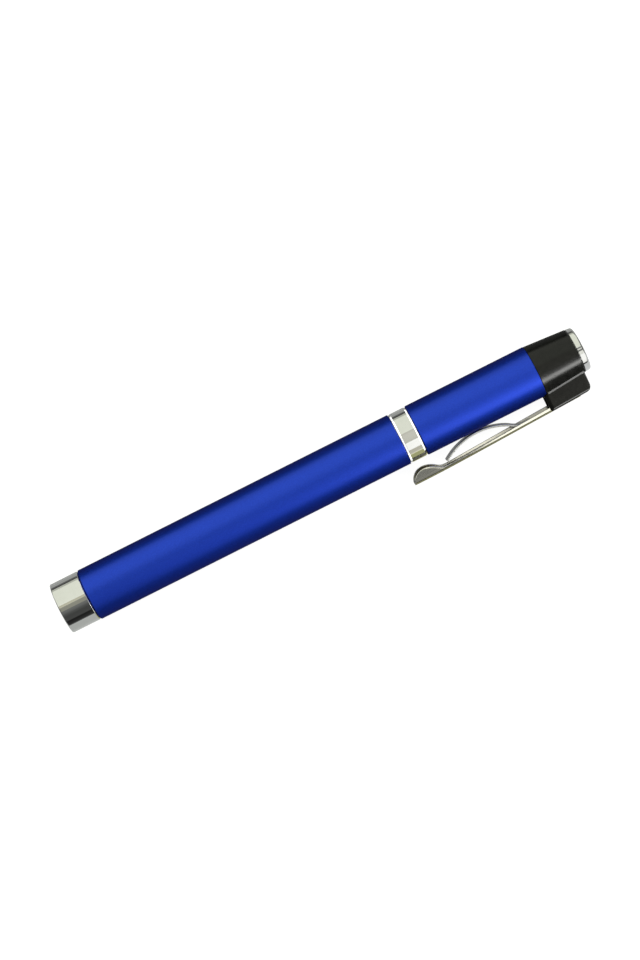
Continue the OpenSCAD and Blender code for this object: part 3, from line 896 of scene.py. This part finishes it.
def around(deg):
    """Direction across the barrel, deg from the camera's side towards the clip's side."""
    a = math.radians(deg)
    return math.cos(a) * VIEW - math.sin(a) * UP0


def panel(name, deg0, deg1, distance, x0, x1, radiance, colour, glossy=True, diffuse=True):
    """Soft rectangular light that faces the barrel: from deg0 to deg1 around it, x0 to x1 along it."""
    li = bpy.data.lights.new(name, "AREA")
    li.shape = "RECTANGLE"
    length = x1 - x0
    height = 2 * distance * math.tan(math.radians(deg1 - deg0) / 2)
    li.size, li.size_y = length, height
    li.energy = radiance * math.pi * length * height
    li.color = colour
    ob = bpy.data.objects.new(name, li)
    bpy.context.scene.collection.objects.link(ob)
    z = around((deg0 + deg1) / 2)
    ob.location = z * distance + Vector(((x0 + x1) / 2, 0, 0))
    xx = Vector((1, 0, 0))
    yy = z.cross(xx)
    ob.matrix_world = Matrix(((xx.x, yy.x, z.x, ob.location.x), (xx.y, yy.y, z.y, ob.location.y),
                              (xx.z, yy.z, z.z, ob.location.z), (0, 0, 0, 1)))
    ob.visible_camera = False
    ob.visible_glossy = glossy
    ob.visible_diffuse = diffuse
    return ob


def only(name, *names):
    """Pieces that a light reaches."""
    return linked(name, names, "INCLUDE")


def all_but(name, *names):
    """Pieces that a light leaves out."""
    return linked(name, names, "EXCLUDE")


def linked(name, names, state):
    group = bpy.data.collections.new(name)
    for n in names:
        group.objects.link(bpy.data.objects[n])
    for row in group.collection_objects:
        row.light_linking.link_state = state
    return group


TUBES = ("front_barrel", "rear_barrel")
not_tubes = all_but("not_tubes", *TUBES)
clipless = all_but("clipless", "clip_lever_channel")
plated = all_but("plated", *TUBES, "collar_moulding")
plain = all_but("plain", "clip_lever_channel", "tail_cap")
ringless = all_but("ringless", "thread_ring", "clip_lever_channel", "tail_cap")
only_tubes = only("only_tubes", *TUBES)
only_collar = only("only_collar", "collar_moulding")
only_clip = only("only_clip", "clip_lever_channel")
only_plug = only("only_plug", "tail_cap")


def show_to(group, ob):
    ob.light_linking.receiver_collection = group
    return ob


panel("soft_far", -84, -14, 0.70, -1.1, 1.1, 1.24, (0.97, 1.0, 0.86))
show_to(not_tubes, panel("soft_far_rim", -90, -84, 0.70, -1.1, 1.1, 1.24, (0.97, 1.0, 0.86)))
show_to(plated, panel("soft_far_edge", -101, -90, 0.70, -1.1, 1.1, 0.72, (0.97, 1.0, 0.86)))
show_to(clipless, panel("tan_left", -14, -4, 0.95, -1.0, 0.02, 0.66, (1.0, 0.97, 0.70)))
show_to(clipless, panel("tan_left_low", -4, 13, 0.95, -1.0, 0.02, 0.19, (1.0, 0.97, 0.62)))
show_to(only_tubes, panel("near_tubes", 12, 72, 0.60, -0.9, 0.6, 0.33, (0.9, 0.95, 1.0)))
show_to(plain, panel("fill_right", -14, 30, 0.95, 0.03, 1.4, 0.74, (1.0, 0.98, 0.84)))
show_to(only_clip, panel("clip_inside_front", -14, 20, 0.15, 0.036, 0.050, 1.25, (1.0, 0.98, 0.88)))
show_to(only_clip, panel("clip_inside_rear", -14, 20, 0.15, 0.051, 0.5, 0.30, (1.0, 0.98, 0.84)))
show_to(only_clip, panel("clip_face_front", 24, 68, 0.15, -0.3, 0.046, 0.19, (1.0, 1.0, 0.93)))
show_to(only_clip, panel("clip_face_rear", 24, 68, 0.15, 0.047, 0.4, 1.7, (1.0, 1.0, 0.90)))
show_to(clipless, panel("near_soft", 30, 66, 0.32, 0.02, 0.6, 1.6, (1.0, 1.0, 0.97)))
show_to(ringless, panel("near_strip", 52, 64, 0.30, 0.13, 0.5, 9.0, (1.0, 1.0, 0.98)))
show_to(only_collar, panel("collar_strip", 47, 67, 0.30, 0.03, 0.5, 10.0, (1.0, 1.0, 0.98)))
show_to(all_but("low", *TUBES, "collar_moulding", "tail_cap", "clip_lever_channel"),
        panel("low_right", 66, 91, 0.50, 0.02, 0.9, 0.78, (1.0, 0.96, 0.80)))
show_to(only_plug, panel("plug_top", -14, -8, 0.95, 0.0, 1.4, 1.1, (0.97, 1.0, 0.88)))
show_to(only_plug, panel("plug_mid", -2, 5, 0.95, 0.0, 1.4, 0.9, (1.0, 1.0, 0.92)))
show_to(only_plug, panel("plug_fill", 13, 30, 0.95, 0.0, 1.4, 1.15, (1.0, 1.0, 0.92)))
show_to(only_plug, panel("plug_low", 66, 79, 0.50, 0.02, 0.9, 1.5, (1.0, 1.0, 0.97)))
panel("floor_wash", -50, 30, 1.6, -1.2, 1.2, 0.35, (1, 1, 1), glossy=False)

# light thrown back by the table: it shows in the plated pieces, not in the satin ones
def table_glow(name, group, x0, x1, y0, y1, radiance, colour):
    """Upward light from below the table top."""
    li = bpy.data.lights.new(name, "AREA")
    li.shape = "RECTANGLE"
    li.size, li.size_y = x1 - x0, y1 - y0
    li.energy = radiance * math.pi * (x1 - x0) * (y1 - y0)
    li.color = colour
    ob = bpy.data.objects.new(name, li)
    bpy.context.scene.collection.objects.link(ob)
    ob.location = ((x0 + x1) / 2, (y0 + y1) / 2, -0.30)
    ob.rotation_euler = (math.pi, 0, 0)
    ob.visible_camera = False
    ob.visible_diffuse = False
    return show_to(group, ob)


table_glow("glow_far", plated, -1.4, 1.4, 0.0, 1.1, 0.36, (0.98, 1.0, 0.97))
table_glow("glow_far_close", plated, -1.4, 1.4, 0.0, 0.4, 0.25, (0.98, 1.0, 0.97))
table_glow("glow_left", plated, -1.5, 0.0, -1.7, 0.0, 0.60, (0.97, 1.0, 0.97))
table_glow("glow_right", all_but("golden", *TUBES, "collar_moulding", "tail_cap", "clip_lever_channel"), 0.0, 1.5, -1.7, 0.0, 0.50,
           (1.0, 1.0, 0.42))
table_glow("glow_clip", only_clip, 0.0, 1.5, -1.7, 0.0, 0.26, (1.0, 1.0, 0.40))
table_glow("glow_tube", only("only_front", "front_barrel"), -1.5, 0.02, -1.2, 0.0, 0.13, (0.9, 0.95, 1.0))
table_glow("glow_plug", only_plug, 0.0, 1.5, -1.7, 0.0, 0.85, (0.97, 0.99, 1.0))


def end_glow(name, x, radiance, width, z0, z1):
    """Upright light beyond one end of the barrel, for the chamfers of the turned pieces."""
    li = bpy.data.lights.new(name, "AREA")
    li.shape = "RECTANGLE"
    li.size, li.size_y = z1 - z0, width
    li.energy = radiance * math.pi * (z1 - z0) * width
    ob = bpy.data.objects.new(name, li)
    bpy.context.scene.collection.objects.link(ob)
    ob.location = (x, 0, (z0 + z1) / 2)
    ob.rotation_euler = (0, math.copysign(math.pi / 2, x), 0)
    ob.visible_camera = False
    ob.visible_diffuse = False
    return ob


def edge_glow(name, group, tilt, turns, radiance, width=17.0):
    """Row of small lights that a chamfer shows on its way round: tilt is the chamfer's lean towards
    +X or -X, turns are the stations around the barrel, all in degrees."""
    def seen(t):
        radial = math.cos(math.radians(t)) * VIEW - math.sin(math.radians(t)) * UP0
        nn = math.cos(math.radians(tilt)) * radial + Vector((math.sin(math.radians(tilt)), 0, 0))
        return (2 * VIEW.dot(nn) * nn - VIEW).normalized()
    step = turns[1] - turns[0]
    for i, t in enumerate(turns):
        z, r0, r1 = seen(t), seen(t - step / 2), seen(t + step / 2)
        xx = (r1 - r0)
        xx = (xx - xx.dot(z) * z).normalized()
        yy = z.cross(xx)
        li = bpy.data.lights.new("%s_%d" % (name, i), "AREA")
        li.shape = "RECTANGLE"
        li.size = 2.4 * math.tan(r0.angle(r1) / 2 + 0.02)
        li.size_y = 2.4 * math.tan(math.radians(width) / 2)
        li.energy = radiance * math.pi * li.size * li.size_y
        ob = bpy.data.objects.new(li.name, li)
        bpy.context.scene.collection.objects.link(ob)
        q = z * 1.2
        ob.matrix_world = Matrix(((xx.x, yy.x, z.x, q.x), (xx.y, yy.y, z.y, q.y), (xx.z, yy.z, z.z, q.z),
                                  (0, 0, 0, 1)))
        ob.visible_camera = False
        ob.visible_diffuse = False
        show_to(group, ob)


only_ring = only("only_ring", "thread_ring")
only_head = only("only_head", "head_shell")
round_ring = [-58 + 12 * k for k in range(11)]
edge_glow("ring_front_edge", only_ring, -23.96, round_ring, 1.9)
edge_glow("ring_rear_edge", only_ring, 23.96, round_ring, 1.9)
edge_glow("head_rear_edge", only_head, 39.8, [-30, -14, 2, 18, 34], 1.6)
show_to(only_collar, end_glow("end_collar", 1.0, 1.9, 2.6, -1.3, 0.04))

w = bpy.data.worlds.new("studio")
bpy.context.scene.world = w
w.use_nodes = True
nt = w.node_tree
for n_ in list(nt.nodes):
    nt.nodes.remove(n_)
out = nt.nodes.new("ShaderNodeOutputWorld")
room = nt.nodes.new("ShaderNodeBackground")
pale = nt.nodes.new("ShaderNodeBackground")
pale.inputs["Color"].default_value = (0.97, 0.97, 0.97, 1)
mix = nt.nodes.new("ShaderNodeMixShader")
lp = nt.nodes.new("ShaderNodeLightPath")
nt.links.new(lp.outputs["Is Camera Ray"], mix.inputs["Fac"])
nt.links.new(room.outputs[0], mix.inputs[1])
nt.links.new(pale.outputs[0], mix.inputs[2])
nt.links.new(mix.outputs[0], out.inputs["Surface"])
tc = nt.nodes.new("ShaderNodeTexCoord")
sep = nt.nodes.new("ShaderNodeSeparateXYZ")
nt.links.new(tc.outputs["Generated"], sep.inputs[0])
height = remap(nt, sep.outputs["Z"], 0.0, 1.0, -1.0, 1.0)


def sky(stops, tone):
    """Brightness of the room by height: stops are (z, value)."""
    r = nt.nodes.new("ShaderNodeValToRGB")
    el = r.color_ramp.elements
    el[0].position, el[0].color = (stops[0][0] + 1) / 2, (*(stops[0][1] * k for k in tone), 1)
    el[1].position, el[1].color = (stops[-1][0] + 1) / 2, (*(stops[-1][1] * k for k in tone), 1)
    for z, val in stops[1:-1]:
        q = el.new((z + 1) / 2)
        q.color = (*(val * k for k in tone), 1)
    nt.links.new(height, r.inputs["Fac"])
    return r.outputs["Color"]


def blend_colours(fac, a, b):
    n = nt.nodes.new("ShaderNodeMix")
    n.data_type = "RGBA"
    nt.links.new(fac, n.inputs[0])
    nt.links.new(a, n.inputs[6])
    nt.links.new(b, n.inputs[7])
    return n.outputs[2]


far = sky([(-1, 0.16), (-0.5, 0.14), (-0.24, 0.18), (-0.12, 0.17), (-0.06, 0.06), (0.0, 0.03), (0.1, 0.05), (1, 0.05)],
          (0.98, 1.0, 0.97))
near = sky([(-1, 0.10), (-0.5, 0.10), (-0.32, 0.10), (-0.24, 0.13), (-0.18, 0.16), (-0.13, 0.18), (-0.08, 0.05),
            (0.25, 0.02), (0.33, 0.10), (0.62, 0.09), (0.75, 0.14), (0.86, 0.24), (1, 0.26)], (0.97, 1.0, 0.97))
ends = sky([(-1, 0.12), (-0.3, 0.15), (0.6, 0.16), (1, 0.12)], (1.0, 1.0, 0.97))
side = remap(nt, sep.outputs["Y"], 1.0, 0.0, -0.15, 0.15)
absx = nt.nodes.new("ShaderNodeMath")
absx.operation = "ABSOLUTE"
nt.links.new(sep.outputs["X"], absx.inputs[0])
along = remap(nt, absx.outputs[0], 0.0, 1.0, 0.45, 0.8)
nt.links.new(blend_colours(along, blend_colours(side, far, near), ends), room.inputs["Color"])

cam_data = bpy.data.cameras.new("camera")
cam_data.lens = 100.0
cam_data.sensor_width = 36.0
cam_data.sensor_fit = "AUTO"
cam = bpy.data.objects.new("camera", cam_data)
bpy.context.scene.collection.objects.link(cam)
target = Vector((-0.00044, 0, 0)) + 0.000099 * RIGHT - 0.0001835 * UPV
cam.location = target + 0.6195 * VIEW
cam.rotation_mode = "QUATERNION"
cam.rotation_quaternion = Matrix((RIGHT, UPV, VIEW)).transposed().to_quaternion()
cam_data.clip_start, cam_data.clip_end = 0.01, 30.0
bpy.context.scene.camera = cam

vs = bpy.context.scene.view_settings
vs.view_transform = "Standard"
vs.look = "None"
vs.exposure = 0.0
vs.gamma = 1.0
